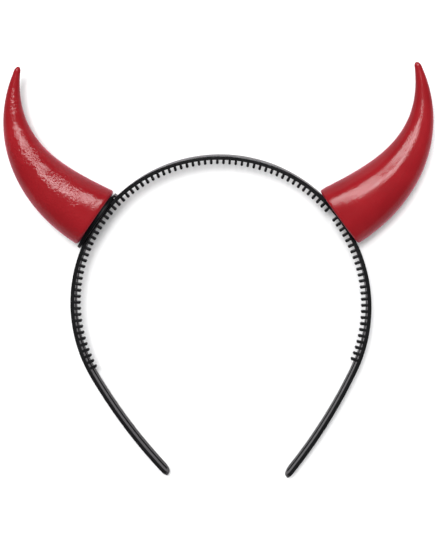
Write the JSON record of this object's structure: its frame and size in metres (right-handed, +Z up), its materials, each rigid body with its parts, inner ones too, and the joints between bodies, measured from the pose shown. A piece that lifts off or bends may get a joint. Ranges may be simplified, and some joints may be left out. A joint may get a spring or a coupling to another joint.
{
  "type": "costume horns headband",
  "caption": "Two curved hollow horns seated on a springy toothed headband that clasps the head, lying flat as it rests on a table.",
  "frame": {"origin": "middle of the footprint at table height, lying as shown in the picture", "axes": "+X to the right, +Y from the arms' tips towards the horns, +Z up from the table"},
  "size_m": [0.182, 0.1826, 0.0247],
  "materials": {
    "black_band": "glossy black moulded plastic",
    "red_horn": "glossy red moulded plastic with a fine crinkle",
    "black_base": "satin black moulded plastic"
  },
  "bodies": {
    "root": {"headband": "black_band", "horn_left": "red_horn", "horn_right": "red_horn", "horn_base_left": "black_base", "horn_base_right": "black_base"}
  },
  "joints": []
}
